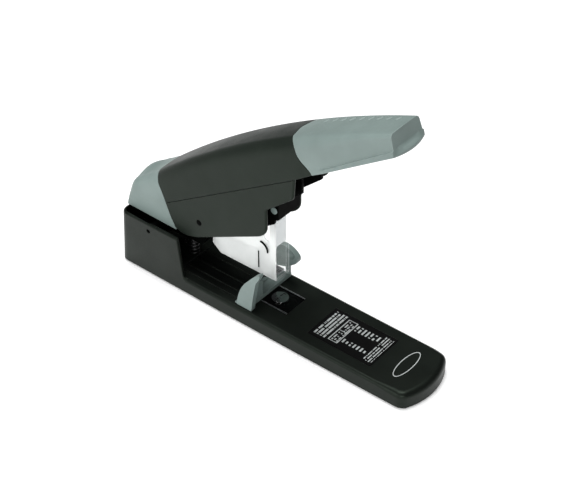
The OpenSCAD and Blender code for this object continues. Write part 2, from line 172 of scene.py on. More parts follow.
def prism(outline, axis, low, high):
    """bmesh of a flat outline pushed along an axis. Outline points are (x, z) for Y and (x, y) for Z."""
    bm = bmesh.new()
    place = {"Y": lambda p, h: (p[0], h, p[1]), "Z": lambda p, h: (p[0], p[1], h),
             "X": lambda p, h: (h, p[0], p[1])}[axis]
    bottom = [bm.verts.new(place(p, low)) for p in outline]
    top = [bm.verts.new(place(p, high)) for p in outline]
    n = len(outline)
    bm.faces.new(bottom)
    bm.faces.new(top[::-1])
    for i in range(n):
        j = (i + 1) % n
        bm.faces.new((bottom[i], bottom[j], top[j], top[i]))
    return bm


def grid(rows, closed=False):
    """bmesh of a grid of (x, y, z) rows; closed joins each row's ends."""
    bm = bmesh.new()
    verts = [[bm.verts.new(p) for p in row] for row in rows]
    for a, b in zip(verts, verts[1:]):
        for i in range(len(a) if closed else len(a) - 1):
            j = (i + 1) % len(a)
            bm.faces.new((a[i], a[j], b[j], b[i]))
    return bm


def box(low, high):
    """bmesh of a box between two corners."""
    return prism([(low[0], low[1]), (high[0], low[1]), (high[0], high[1]), (low[0], high[1])],
                 "Z", low[2], high[2])


def round_bar(centre, radius, axis, low, high, sides=48):
    """bmesh of a round bar along an axis."""
    ring = [(centre[0] + radius * math.cos(2 * math.pi * i / sides),
             centre[1] + radius * math.sin(2 * math.pi * i / sides)) for i in range(sides)]
    return prism(ring, axis, low, high)


def add_tube(bm, path, radius, sides=10, taper=True):
    """Round bar along a path, with rounded ends when tapered."""
    rings = []
    n = len(path)
    for i, p in enumerate(path):
        ahead = path[min(i + 1, n - 1)] - path[max(i - 1, 0)]
        ahead.normalize()
        side = ahead.cross(Vector((0, 0, 1)))
        if side.length < 1e-3:
            side = ahead.cross(Vector((0, 1, 0)))
        side.normalize()
        up = side.cross(ahead)
        r = radius * 0.35 if taper and i in (0, n - 1) else radius
        rings.append([bm.verts.new(p + side * (r * math.cos(2 * math.pi * k / sides))
                                   + up * (r * math.sin(2 * math.pi * k / sides))) for k in range(sides)])
    for a, b in zip(rings, rings[1:]):
        for k in range(sides):
            j = (k + 1) % sides
            bm.faces.new((a[k], a[j], b[j], b[k]))
    bm.faces.new(rings[0][::-1])
    bm.faces.new(rings[-1])


def rounded(bm, width, segments=3, angle=25):
    """Bevel a bmesh's sharp edges in place."""
    sharp = [e for e in bm.edges if e.calc_face_angle(0) > math.radians(angle)]
    bmesh.ops.bevel(bm, geom=sharp, offset=width, segments=segments, profile=0.5, affect="EDGES",
                    clamp_overlap=True)
    return bm


def settle(obj):
    """Apply an object's modifiers."""
    depsgraph = bpy.context.evaluated_depsgraph_get()
    mesh = bpy.data.meshes.new_from_object(obj.evaluated_get(depsgraph))
    obj.modifiers.clear()
    obj.data = mesh
    return obj


def combine(obj, tools, operation="DIFFERENCE"):
    """Boolean obj with helper meshes, which are then removed."""
    for i, bm in enumerate(tools):
        tool = new_object(f"{obj.name}_tool_{i}", bm)
        mod = obj.modifiers.new("combine", "BOOLEAN")
        mod.operation = operation
        mod.solver = "EXACT"
        mod.object = tool
        settle(obj)
        bpy.data.objects.remove(tool)
    return obj


def tidy_mesh(obj, angle=1.0):
    """Merge doubles and flatten coplanar faces, so that bevels stay clean."""
    bm = bmesh.new()
    bm.from_mesh(obj.data)
    bmesh.ops.remove_doubles(bm, verts=bm.verts, dist=0.00001)
    bmesh.ops.dissolve_limit(bm, angle_limit=math.radians(angle), verts=bm.verts, edges=bm.edges)
    bm.to_mesh(obj.data)
    bm.free()


def weigh(obj, rule, angle=25.0):
    """Bevel weight of each sharp edge from rule(low corner, high corner), in millimetres."""
    bm = bmesh.new()
    bm.from_mesh(obj.data)
    layer = bm.edges.layers.float.new("bevel_weight_edge")
    for e in bm.edges:
        if len(e.link_faces) == 2 and e.calc_face_angle(0) > math.radians(angle):
            a, b = e.verts[0].co / MM, e.verts[1].co / MM
            e[layer] = rule(Vector(map(min, a, b)), Vector(map(max, a, b)))
    bm.to_mesh(obj.data)
    bm.free()


def bevel(obj, width, segments=3, weights=False, angle=30):
    """Round an object's sharp edges, or its weighted ones, by width millimetres."""
    mod = obj.modifiers.new("edges", "BEVEL")
    mod.width = width * MM
    mod.segments = segments
    mod.limit_method = "WEIGHT" if weights else "ANGLE"
    mod.angle_limit = math.radians(angle)
    mod.harden_normals = True
    mod.miter_outer = "MITER_ARC"
    return mod


def thicken(obj, thickness, even=True):
    """Give an open sheet its wall, inwards."""
    mod = obj.modifiers.new("wall", "SOLIDIFY")
    mod.thickness = thickness * MM
    mod.offset = -1
    mod.use_even_offset = even


def face_outward(obj):
    """Turn an open sheet's faces so that its crown looks up."""
    mesh = obj.data
    total = sum(p.normal.z * p.area for p in mesh.polygons)
    if total < 0:
        mesh.flip_normals()


def dress(obj, material, body, nodes=(), angle=35):
    """Shade, paint and place a piece on its body."""
    obj.data.materials.clear()
    obj.data.materials.append(material)
    for p in obj.data.polygons:
        p.use_smooth = True
    obj.data.set_sharp_from_angle(angle=math.radians(angle))
    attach(obj, body)
    if nodes:
        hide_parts(*nodes)
    return obj


# ---------- materials ----------

class Paint:
    """A procedural material under construction."""

    def __init__(self, name, colour, roughness, metallic=0.0):
        self.material = bpy.data.materials.new(name)
        self.material.use_nodes = True
        self.tree = self.material.node_tree
        self.tree.nodes.clear()
        self.out = self.add("ShaderNodeOutputMaterial")
        self.bsdf = self.add("ShaderNodeBsdfPrincipled")
        self.link(self.bsdf.outputs[0], self.out.inputs["Surface"])
        self.place = self.add("ShaderNodeTexCoord").outputs["Object"]
        self.colour = self.rgb(colour)
        self.roughness = self.number(roughness)
        self.bsdf.inputs["Metallic"].default_value = metallic
        self.normal = None

    def add(self, kind, **values):
        node = self.tree.nodes.new(kind)
        for key, value in values.items():
            setattr(node, key, value)
        return node

    def link(self, a, b):
        self.tree.links.new(a, b)

    def rgb(self, colour):
        node = self.add("ShaderNodeRGB")
        node.outputs[0].default_value = (*colour, 1)
        return node.outputs[0]

    def number(self, value):
        node = self.add("ShaderNodeValue")
        node.outputs[0].default_value = value
        return node.outputs[0]

    def math(self, operation, a, b=None, clamp=False):
        node = self.add("ShaderNodeMath", operation=operation, use_clamp=clamp)
        for socket, value in zip(node.inputs, (a, b)):
            if value is None:
                continue
            if isinstance(value, (int, float)):
                socket.default_value = value
            else:
                self.link(value, socket)
        return node.outputs[0]

    def stretched(self, scale):
        node = self.add("ShaderNodeMapping")
        self.link(self.place, node.inputs["Vector"])
        node.inputs["Scale"].default_value = scale
        return node.outputs[0]

    def noise(self, scale, detail=3.0, stretch=(1, 1, 1)):
        node = self.add("ShaderNodeTexNoise")
        self.link(self.stretched(stretch), node.inputs["Vector"])
        node.inputs["Scale"].default_value = scale
        node.inputs["Detail"].default_value = detail
        return node.outputs["Fac"]

    def ranged(self, value, low, high, to_low, to_high):
        node = self.add("ShaderNodeMapRange")
        self.link(value, node.inputs["Value"])
        limits = {"From Min": low, "From Max": high, "To Min": to_low, "To Max": to_high}
        for name, number in limits.items():
            node.inputs[name].default_value = number
        return node.outputs[0]

    def mix(self, factor, a, b, kind="MIX"):
        node = self.add("ShaderNodeMix", data_type="RGBA", blend_type=kind)
        for socket, value in ((node.inputs[0], factor), (node.inputs[6], a), (node.inputs[7], b)):
            if isinstance(value, (int, float)):
                socket.default_value = value
            elif isinstance(value, tuple):
                socket.default_value = (*value, 1)
            else:
                self.link(value, socket)
        return node.outputs[2]

    def vary(self, scale, amount):
        """Slow lightness variation."""
        patch = self.ranged(self.noise(scale), 0.3, 0.7, 1 - amount, 1 + amount)
        joined = self.add("ShaderNodeCombineColor")
        for i in range(3):
            self.link(patch, joined.inputs[i])
        self.colour = self.mix(1.0, self.colour, joined.outputs[0], "MULTIPLY")

    def roughen(self, scale, amount, stretch=(1, 1, 1)):
        patch = self.ranged(self.noise(scale, 4, stretch), 0.3, 0.7, -amount, amount)
        self.roughness = self.math("ADD", self.roughness, patch)

    def bump(self, height, strength, distance):
        node = self.add("ShaderNodeBump")
        node.inputs["Strength"].default_value = strength
        node.inputs["Distance"].default_value = distance
        self.link(height, node.inputs["Height"])
        if self.normal is not None:
            self.link(self.normal, node.inputs["Normal"])
        self.normal = node.outputs[0]

    def edges(self, radius):
        """1 along sharp edges, 0 on flat faces."""
        edge = self.add("ShaderNodeBevel", samples=4)
        edge.inputs["Radius"].default_value = radius
        plain = self.add("ShaderNodeNewGeometry")
        dot = self.add("ShaderNodeVectorMath", operation="DOT_PRODUCT")
        self.link(edge.outputs[0], dot.inputs[0])
        self.link(plain.outputs["Normal"], dot.inputs[1])
        return self.ranged(self.math("SUBTRACT", 1.0, dot.outputs["Value"]), 0.01, 0.18, 0.0, 1.0)

    def edge_wear_and_highlight(self, colour, radius, amount, rougher=0.08):
        """Lighter, duller colour along edges: wear on the mouldings and metal, a painted highlight on the
        clear plastic.
        """
        patchy = self.ranged(self.noise(180, 5), 0.35, 0.65, 0.25, 1.0)
        # edge mask: wear on most finishes, painted highlight on the clear plastic
        wear_and_highlight_mask = self.math("MULTIPLY", self.edges(radius), patchy, True)
        share = self.math("MULTIPLY", wear_and_highlight_mask, amount, True)
        self.colour = self.mix(share, self.colour, colour)
        self.roughness = self.math("ADD", self.roughness, self.math("MULTIPLY", share, rougher))

    def done(self):
        self.link(self.colour, self.bsdf.inputs["Base Color"])
        self.link(self.roughness, self.bsdf.inputs["Roughness"])
        if self.normal is not None:
            self.link(self.normal, self.bsdf.inputs["Normal"])
        return self.material


GREENISH = (0.76, 0.96, 0.77)   # tint of the highlights on the dark mouldings


def moulded_plastic(name, colour, worn, roughness, grain=2600, depth=0.00003, specular=0.5,
                    tint=(1, 1, 1)):
    """Finely grained plastic with paler edges."""
    p = Paint(name, colour, roughness)
    p.bsdf.inputs["Specular IOR Level"].default_value = specular
    p.bsdf.inputs["Specular Tint"].default_value = (*tint, 1)
    p.vary(38, 0.09)
    p.roughen(55, 0.05)
    p.roughen(900, 0.04)
    p.edge_wear_and_highlight(worn, 0.0007, 0.55)
    p.bump(p.noise(grain, 2), 0.35, depth)
    p.bump(p.noise(320, 3), 0.12, depth * 2)
    return p.done()


def painted_steel(name, colour, worn, roughness):
    """Very dark enamel that hardly shines."""
    p = Paint(name, colour, roughness)
    p.bsdf.inputs["IOR"].default_value = 1.06
    p.vary(60, 0.12)
    p.roughen(140, 0.06)
    p.edge_wear_and_highlight(worn, 0.0004, 0.6, -0.05)
    p.bump(p.noise(1500, 3), 0.2, 0.00002)
    return p.done()


def bare_steel(name, colour, roughness, brushed=(1, 30, 30)):
    """Metal with a fine brushed grain."""
    p = Paint(name, colour, roughness, 1.0)
    p.vary(80, 0.08)
    p.roughen(260, 0.09, brushed)
    p.edge_wear_and_highlight((0.85, 0.85, 0.86), 0.0003, 0.5, -0.05)
    p.bump(p.noise(700, 3, brushed), 0.12, 0.00001)
    return p.done()


def rubber(name):
    p = Paint(name, (0.012, 0.012, 0.012), 0.75)
    p.vary(90, 0.15)
    p.roughen(300, 0.06)
    p.bump(p.noise(1800, 4), 0.4, 0.00004)
    return p.done()


def clear_plastic(name):
    """Thin clear moulding: frosted on its near side, clear elsewhere and whiter at its edges, where the
    white is a painted highlight.
    """
    p = Paint(name, (0.76, 0.78, 0.77), 0.12)
    p.vary(70, 0.03)
    p.roughen(220, 0.05)
    # painted highlight: the moulding's edges are coloured white
    p.edge_wear_and_highlight((1, 1, 1), 0.0010, 1.0, 0.2)
    p.bump(p.noise(130, 3), 0.05, 0.00003)
    p.bsdf.inputs["IOR"].default_value = 1.46
    p.done()
    see_through = p.add("ShaderNodeBsdfTransparent")
    see_through.inputs[0].default_value = (0.995, 1.0, 0.998, 1)
    facing = p.add("ShaderNodeLayerWeight")
    facing.inputs["Blend"].default_value = 0.2
    plain = p.add("ShaderNodeNewGeometry")
    turned, placed = p.add("ShaderNodeSeparateXYZ"), p.add("ShaderNodeSeparateXYZ")
    p.link(plain.outputs["Normal"], turned.inputs[0])
    p.link(p.place, placed.inputs[0])
    sideways = p.ranged(p.math("ABSOLUTE", turned.outputs["Y"]), 0.5, 1.0, 0.0, 1.0)
    near = p.math("LESS_THAN", placed.outputs["Y"], 0.0)
    haze = p.math("ADD", 0.03, p.math("MULTIPLY", p.math("MULTIPLY", sideways, near),
                                      p.ranged(p.noise(90, 4), 0.3, 0.7, 0.55, 0.61)))
    solid = p.math("ADD", haze, p.math("MULTIPLY", facing.outputs["Facing"], 0.06), True)
    # along the edges the moulding turns nearly solid, showing the painted white highlight
    solid = p.math("MAXIMUM", solid, p.math("MULTIPLY", p.edges(0.0010), 0.9))
    shadow = p.add("ShaderNodeLightPath").outputs["Is Shadow Ray"]   # the haze casts only a faint shadow
    solid = p.math("MULTIPLY", solid, p.math("SUBTRACT", 1.0, p.math("MULTIPLY", shadow, 0.8)))
    mixed = p.add("ShaderNodeMixShader")
    p.link(solid, mixed.inputs[0])
    p.link(see_through.outputs[0], mixed.inputs[1])
    p.link(p.bsdf.outputs[0], mixed.inputs[2])
    p.link(mixed.outputs[0], p.out.inputs["Surface"])
    return p.material


def printed_panel(name, low, high):
    """Black film with rows of short pale dashes and a ruled box, none of it lettering."""
    p = Paint(name, (0.002, 0.002, 0.002), 0.42)
    p.bsdf.inputs["Specular IOR Level"].default_value = 0.1
    p.vary(60, 0.15)
    split = p.add("ShaderNodeSeparateXYZ")
    p.link(p.place, split.inputs[0])
    u = p.ranged(split.outputs["X"], low.x * MM, high.x * MM, 0.0, 1.0)
    v = p.ranged(split.outputs["Y"], low.y * MM, high.y * MM, 0.0, 1.0)

    def inside(value, a, b):
        """1 where value lies between a and b."""
        return p.math("MULTIPLY", p.math("GREATER_THAN", value, a), p.math("LESS_THAN", value, b))

    def region(u0, u1, v0, v1):
        return p.math("MULTIPLY", inside(u, u0, u1), inside(v, v0, v1))

    def stripes(value, count, share):
        """Even stripes that fill a share of their pitch."""
        return p.math("LESS_THAN", p.math("FRACT", p.math("MULTIPLY", value, count)), share)

    def broken(scale_u, scale_v, keep):
        """Rows of uneven dashes."""
        cell = p.add("ShaderNodeTexWhiteNoise", noise_dimensions="2D")
        joined = p.add("ShaderNodeCombineXYZ")
        p.link(p.math("FLOOR", p.math("MULTIPLY", u, scale_u)), joined.inputs[0])
        p.link(p.math("FLOOR", p.math("MULTIPLY", v, scale_v)), joined.inputs[1])
        p.link(joined.outputs[0], cell.inputs["Vector"])
        return p.math("LESS_THAN", cell.outputs["Value"], keep)

    def times(*parts):
        total = parts[0]
        for part in parts[1:]:
            total = p.math("MULTIPLY", total, part)
        return total

    heading = times(region(0.04, 0.24, 0.10, 0.93), stripes(u, 20, 0.55), broken(20, 46, 0.80))
    outer_box, inner_box = region(0.27, 0.42, 0.12, 0.88), region(0.285, 0.405, 0.135, 0.865)
    frame_rule = p.math("SUBTRACT", outer_box, inner_box, True)
    box_rule = region(0.27, 0.42, 0.49, 0.505)
    box_rows = times(region(0.30, 0.40, 0.16, 0.84), stripes(u, 26, 0.5), broken(26, 34, 0.6))
    left_column = times(region(0.44, 0.82, 0.22, 0.34), stripes(u, 18, 0.45), broken(18, 26, 0.85))
    right_column = times(region(0.44, 0.82, 0.66, 0.84), stripes(u, 18, 0.45), broken(18, 26, 0.85))
    notes = times(region(0.84, 0.97, 0.08, 0.92), stripes(u, 26, 0.42), broken(26, 40, 0.82))
    ink = heading
    for part in (frame_rule, box_rule, box_rows, left_column, right_column, notes):
        ink = p.math("MAXIMUM", ink, part)
    faded = p.math("MULTIPLY", ink, p.ranged(p.noise(900, 3), 0.3, 0.7, 0.55, 1.0))
    p.colour = p.mix(faded, p.colour, (0.62, 0.66, 0.65))
    p.roughen(300, 0.05)
    p.bump(ink, 0.15, 0.00002)
    return p.done()


def floor_material():
    p = Paint("studio_floor", (0.86, 0.86, 0.86), 0.7)
    p.vary(3, 0.01)
    p.bsdf.inputs["Emission Color"].default_value = (1, 1, 1, 1)
    p.bsdf.inputs["Emission Strength"].default_value = 0.25
    p.bsdf.inputs["Specular IOR Level"].default_value = 0.2
    return p.done()


BLACK = moulded_plastic("black_moulding", (0.0050, 0.0060, 0.0052), (0.05, 0.055, 0.05), 0.40,
                        specular=0.19, tint=GREENISH)
COVER = moulded_plastic("cover_moulding", (0.0114, 0.0150, 0.0120), (0.055, 0.062, 0.055), 0.40,
                        specular=0.12, tint=GREENISH)
GREY = moulded_plastic("grey_moulding", (0.168, 0.216, 0.204), (0.36, 0.41, 0.39), 0.46, specular=0.35)
RAIL = moulded_plastic("rail_moulding", (0.004, 0.0044, 0.0041), (0.012, 0.013, 0.012), 0.34,
                       specular=0.3, tint=GREENISH)
GLOSS = moulded_plastic("gloss_moulding", (0.001, 0.001, 0.001), (0.01, 0.01, 0.01), 0.16,
                        depth=0.00001, specular=0.12)
MILKY = moulded_plastic("milky_moulding", (0.60, 0.63, 0.62), (0.75, 0.77, 0.76), 0.4)
CLEAR = clear_plastic("clear_moulding")
ENAMEL = painted_steel("black_enamel", (0.0016, 0.0019, 0.0017), (0.010, 0.012, 0.011), 0.40)
STEEL = bare_steel("plated_steel", (0.55, 0.56, 0.57), 0.28)
DARK_STEEL = bare_steel("dark_steel", (0.20, 0.205, 0.21), 0.34)
GLOSS_STEEL = bare_steel("gloss_steel", (0.32, 0.33, 0.32), 0.12)
WIRE = bare_steel("spring_wire", (0.06, 0.06, 0.06), 0.34, (30, 30, 1))
RUBBER = rubber("foot_rubber")
PANEL = printed_panel("printed_film", panel_low, panel_high)
INK = moulded_plastic("pale_ink", (0.60, 0.64, 0.63), (0.7, 0.72, 0.71), 0.5, grain=3000, depth=0.00001)


# ---------- base ----------

def base_outline(inset=0.0):
    """Plan of the base: bowed sides, small rear corners and a wide rounded nose."""
    bow = 0.7
    nose_r, corner_r, rear_r = 56.0, 10.0, 8.0
    rear, half = base_low.x + inset, BASE_HALF - inset
    corner, rear_corner, arc = corner_r - inset, rear_r - inset, nose_r - inset
    arc_x = base_high.x - nose_r
    corner_y = BASE_HALF - corner_r
    corner_x = arc_x + math.sqrt((nose_r - corner_r) ** 2 - corner_y ** 2)
    wedge = math.atan2(corner_y, corner_x - arc_x)
    middle = (corner_x + rear) / 2
    reach = corner_x - middle

    def side(x):
        return half - bow * ((x - middle) / reach) ** 2

    right = []
    for i in range(9):
        a = math.radians(90 * i / 8)
        right.append((rear + rear_corner * (1 - math.cos(a)),
                      -(side(rear + rear_corner) - rear_corner + rear_corner * math.sin(a))))
    for i in range(1, 15):
        x = lerp(rear + rear_corner, corner_x, i / 15)
        right.append((x, -side(x)))
    start = side(corner_x)
    for i in range(9):
        a = lerp(math.pi / 2, wedge, i / 8)
        pull = lerp(BASE_HALF - inset - start, 0, i / 8)
        right.append((corner_x + corner * math.cos(a), -(corner_y + corner * math.sin(a) - pull)))
    for i in range(1, 10):
        a = lerp(wedge, 0, i / 9)
        right.append((arc_x + arc * math.cos(a), -arc * math.sin(a)))
    return right + [(x, -y) for x, y in right[-2::-1]]


def base_cuts():
    """Tools that open the base: block, throat floor, anvil pocket, panel seat, underside and bores."""
    wall, slant, corner, past = 3.2, 5.0, 3, 5
    beyond = BASE_HALF + 9
    above = BLOCK_TOP + past
    front = prism([(BLOCK_FRONT, above), (BLOCK_FRONT, BLOCK_TOP), (BLOCK_FRONT + slant, BASE_TOP),
                   (base_high.x + past, BASE_TOP), (base_high.x + past, above)], "Y", -beyond, beyond)
    inner_x, inner_y, mouth = base_low.x + wall, BASE_HALF - wall, BLOCK_FRONT + 12
    inner = [(inner_x, -inner_y + corner), (inner_x + corner, -inner_y), (mouth, -inner_y),
             (mouth, inner_y), (inner_x + corner, inner_y), (inner_x, inner_y - corner)]
    hollow = prism(inner, "Z", BASE_TOP, above)
    throat_half, pocket_half, over = 23, 12.2, BASE_TOP + 4
    throat = box((BLOCK_FRONT - 6, -throat_half, floor_low.z), (-14, throat_half, over))
    pocket = box((-11, -pocket_half, tray_low.z), (16, pocket_half, over))
    gap = 0.2
    label = box((panel_low.x - gap, panel_low.y - gap, BASE_TOP - PANEL_SUNK),
                (panel_high.x + gap, panel_high.y + gap, BASE_TOP + past))
    skin = 3
    under = prism(base_outline(2.8), "Z", base_low.z - skin, BASE_TOP - skin)
    bore_end = BASE_HALF - 1.3
    bore = round_bar((PIVOT.x, PIVOT.z), 4.1, "Y", -bore_end, bore_end, 32)
    hole = round_bar((PIVOT.x, PIVOT.z), 1.9, "Y", -beyond, beyond, 24)
    return [front, hollow, throat, pocket, label, under, bore, hole]


def base_roundness(low, high):
    """Share of the full bevel for each sharp edge of the base."""
    flat = high.z - low.z < 0.05
    reach = max(abs(low.y), abs(high.y))
    if flat and abs(low.z - BASE_TOP) < 0.05 and low.x > BLOCK_FRONT:
        at_nose = high.x > base_high.x - 20
        if reach > 25 or at_nose:
            return 1.0 if low.x > base_high.x - 24 else 0.6
    if flat and abs(low.z - BLOCK_TOP) < 0.05:
        if reach < 28.2 and low.x > base_low.x + 2.5:
            return 0.1
        return 0.48 if high.x < base_low.x + 9 else 0.25
    if flat and low.z < base_low.z + 0.1 and reach > 28.5:
        return 0.15
    if not flat and high.z > BLOCK_TOP - 1 and low.x > BLOCK_FRONT - 8:
        return 0.18
    return 0.05


def make_base():
    """Black base moulding with its hollow rear block."""
    shell = new_object("base_moulding", prism(base_outline(), "Z", base_low.z, BLOCK_TOP))
    combine(shell, base_cuts())
    tidy_mesh(shell, 0.5)
    weigh(shell, base_roundness)
    lean_rear(shell)
    bevel(shell, 5.0, 6, True).use_clamp_overlap = False
    dress(shell, BLACK, "base", ["base_shell"])


def lean_rear(obj):
    """Lean the rear wall of the block forwards as it rises."""
    at_foot, at_top = -2.2, 1.8
    for v in obj.data.vertices:
        x, z = v.co.x / MM, v.co.z / MM
        share = smooth((base_low.x + 14 - x) / 10)
        v.co.x += MM * lerp(at_foot, at_top, z / BLOCK_TOP) * share


# ---------- handle ----------

def top_height(x):
    """Height of the long arc at x."""
    chord = TOP_FRONT - TOP_REAR
    normal = Vector((-chord.y, chord.x)).normalized()
    centre = (TOP_REAR + TOP_FRONT) / 2 - normal * math.sqrt(TOP_R ** 2 - (chord.length / 2) ** 2)
    return centre.y + math.sqrt(TOP_R ** 2 - (x - centre.x) ** 2)


# Across the handle, v is 0 on the centre line; the flat crown ends at CROWN, its round at SHOULDER
CROWN, SHOULDER = 0.34, 0.62


def handle_point(v, x, lip=False):
    """Point of the handle's skin. v runs from -1, the near lower edge, over the crown to 1.

    With lip, the lower edge carries the grip's slightly raised strip.
    """
    a, s = abs(v), (1 if v >= 0 else -1)
    taper, step = 4.6 * smooth((x - 30) / 95), 0.25 * smooth((x - 30) / 20)
    lean_in = smooth((x - 60) / 50)
    low_half = HALF_W - taper - step
    half = low_half - 0.9 * lean_in
    flat = stations([(-120, HALF_W - 10), (20, HALF_W - 10), (73, 13.0), (110, 13.4)], x)
    r = half - flat
    drop = r * 1.2
    camber = 0.7 - 0.4 * lean_in
    z_top = top_height(x)
    z_side = z_top - camber - drop
    if a < CROWN:
        y = flat * a / CROWN
        z = z_top - camber * (y / flat) ** 2
    elif a < SHOULDER:
        t = (a - CROWN) / (SHOULDER - CROWN) * math.pi / 2
        y = flat + r * math.sin(t)
        z = z_top - camber - drop * (1 - math.cos(t))
    else:
        q = (a - SHOULDER) / (1 - SHOULDER)
        low = along(LOWER_EDGE, x)
        z = lerp(z_side, low, q)
        y = lerp(half, low_half, q)
        if lip:
            share = smooth((x - 48) / 10)
            strip = low + lerp(3.2, 5.4, (x - 55) / 58)
            knots = [(0, z_side), (0.75, strip + 0.35), (0.875, strip - 0.35), (1, low)]
            z = lerp(z, along(knots, q), share)
            y += 1.1 * share * smooth((q - 0.75) / 0.125)
    return Vector((x, s * y, z))


def rear_line(v):
    """Where the black shell meets the rear cap."""
    return stations([(0, -114.0), (CROWN, -113.6), (SHOULDER, -107.6), (1, -101.0)], abs(v))


def grip_line(v):
    """Where the black shell meets the grip."""
    return stations([(0, 20.0), (CROWN, 22.5), (SHOULDER, 32.5), (1, 46.5)], abs(v))


def section_values():
    """v of each point across the handle, from the near lower edge to the far one."""
    side, curve = 1 - SHOULDER, SHOULDER - CROWN
    half = [CROWN * i / 4 for i in range(5)] + [CROWN + curve * (i + 1) / 9 for i in range(9)]
    half += [SHOULDER + side * (i + 1) / 8 for i in range(8)]
    return [-v for v in half[:0:-1]] + half


SECTION = section_values()


def make_cover():
    """Black upper shell, from the cap to the grip."""
    rows = []
    for i in range(41):
        rows.append([handle_point(v, lerp(rear_line(v), grip_line(v), i / 40)) for v in SECTION])
    shell = new_object("upper_shell", grid(rows))
    face_outward(shell)
    thicken(shell, SHELL)
    bevel(shell, 0.45, 3, angle=50)
    dress(shell, COVER, "handle", ["handle_cover"])


def tip_depth(y, z):
    """X of the grip's end: a slanted flat above a rounded lip."""
    top_x, top_z, flat_low, slope = 108.7, 227.2, 216.0, 0.34
    lip_top, lip_low, lip_reach, lip_half = 217.0, 204.5, 4.6, 21.0
    flat = top_x + (top_z - max(z, flat_low)) * slope
    lip = smooth((lip_top - z) / 3.0) * smooth((z - lip_low) / 5.5)
    return flat + lip_reach * lip * max(0.0, 1 - (y / lip_half) ** 2)


def tip_x(v):
    """X where the handle's skin meets the grip's end, found by repeated steps."""
    x = 110.0   # a first guess
    for _ in range(6):
        p = handle_point(v, x, True)
        x = tip_depth(p.y, p.z)
    return x


def close_tip(bm):
    """Close the grip's end with rings that shrink towards the middle of the flat."""
    bm.verts.ensure_lookup_table()
    edge = bm.verts[len(bm.verts) - len(SECTION):]
    low_z, half = edge[0].co.z, edge[0].co.y
    loop = list(edge)
    for i in range(1, 12):
        y = lerp(-half, half, i / 12)
        loop.append(bm.verts.new((tip_depth(y, low_z), y, low_z)))
    rim = [v.co.copy() for v in loop]
    centre_z = 218.5
    for share in (0.95, 0.88, 0.79, 0.69, 0.58, 0.46, 0.33, 0.18):
        inner = []
        for corner in rim:
            y, z = corner.y * share, centre_z + (corner.z - centre_z) * share
            inner.append(bm.verts.new((tip_depth(y, z), y, z)))
        for i in range(len(loop)):
            j = (i + 1) % len(loop)
            bm.faces.new((loop[i], loop[j], inner[j], inner[i]))
        loop = inner
    bm.faces.new(loop[::-1])


def make_grip():
    """Grey grip with its flat end and lip."""
    rows = []
    for i in range(31):
        rows.append([handle_point(v, lerp(grip_line(v) + SEAM, tip_x(v), i / 30), True) for v in SECTION])
    bm = grid(rows)
    close_tip(bm)
    shell = new_object("grip_shell", bm)
    face_outward(shell)
    crease_tip(shell)
    thicken(shell, SHELL)
    bevel(shell, 0.5, 3, angle=50)
    dress(shell, GREY, "handle", ["grip"])


def crease_tip(obj):
    """Round the edge between the crown and the flat end."""
    def rule(low, high):
        return 1.0 if high.x > 107 and low.x > 105 else 0.0
    weigh(obj, rule, 28)
    bevel(obj, 1.5, 4, True)
    settle(obj)


def make_grip_ridges():
    """Short slanted finger ridges just inside the far edge of the grip's crown."""
    first, pitch, count, slant = 36, 7.6, 9, 2.4
    radius, sunk = 0.95, Vector((0, 0, 0.4))
    bm = bmesh.new()
    for k in range(count):
        x = first + pitch * k
        path = [handle_point(lerp(0.14, 0.29, i / 8), x + slant * i / 8) - sunk for i in range(9)]
        add_tube(bm, path, radius, 8)
    ridges = new_object("grip_ridges", bm)
    dress(ridges, GREY, "handle")


def cap_profile():
    """Centre line of the cap, from its lower rear edge up to the seam with the cover."""
    return resample(curve_through([(-147.3, 54.3), (-145.6, 62), (-141.6, 78.0), (-139.6, 84.2),
                                   (-135.0, 88.4), (-127, 91.2), (-119.5, 94.6), (-114.4, 99.6)]), 36)


def cap_front_edge():
    """Front edge of the cap's flat sides, from the bottom up to the seam."""
    seam = handle_point(SHOULDER, rear_line(SHOULDER) - SEAM)
    points = [(-91.4, 54.4), (-93.2, 58.5), (-96.6, 65), (-101.3, 76.6), (-104.9, 86), (seam.x, seam.z)]
    return resample([Vector(p) for p in points], 36)


def cap_row(i, middle, front):
    """Points across the cap at step i: crown, round and flat side, on both sides."""
    heart = Vector((-117, 66))
    inward = (heart - middle).normalized()
    r = lerp(3.2, 8.8, smooth(i / 22))
    flat = HALF_W - r
    camber = lerp(3.4 * smooth((i - 13) / 8), 0.7, smooth((i - 20) / 10))
    half = []
    for v in [v for v in SECTION if 0 <= v <= SHOULDER + 1e-6]:
        if v < CROWN:
            y = flat * v / CROWN
            deep = camber * (v / CROWN) ** 2
        else:
            t = (v - CROWN) / (SHOULDER - CROWN) * math.pi / 2
            y, deep = flat + r * math.sin(t), camber + r * (1 - math.cos(t))
        sunk = middle + inward * deep
        at_seam = handle_point(v, rear_line(v) - SEAM)
        half.append(Vector((sunk.x, y, sunk.y)).lerp(at_seam, smooth((i - 26) / 10)))
    start, end = half[-1], Vector((front.x, HALF_W, front.y))
    half += [start.lerp(end, k / 10) for k in range(1, 11)]
    return [Vector((q.x, -q.y, q.z)) for q in half[:0:-1]] + half


def make_cap():
    """Grey rear cap: a rounded crown carried down to flat sides."""
    rows = [cap_row(i, *pair) for i, pair in enumerate(zip(cap_profile(), cap_front_edge()))]
    bm = grid(rows)
    bmesh.ops.remove_doubles(bm, verts=bm.verts, dist=0.02)
    shell = new_object("rear_cap_shell", bm)
    face_outward(shell)
    thicken(shell, SHELL, False)
    bevel(shell, 0.4, 3, angle=50)
    dress(shell, GREY, "handle", ["rear_cap"])


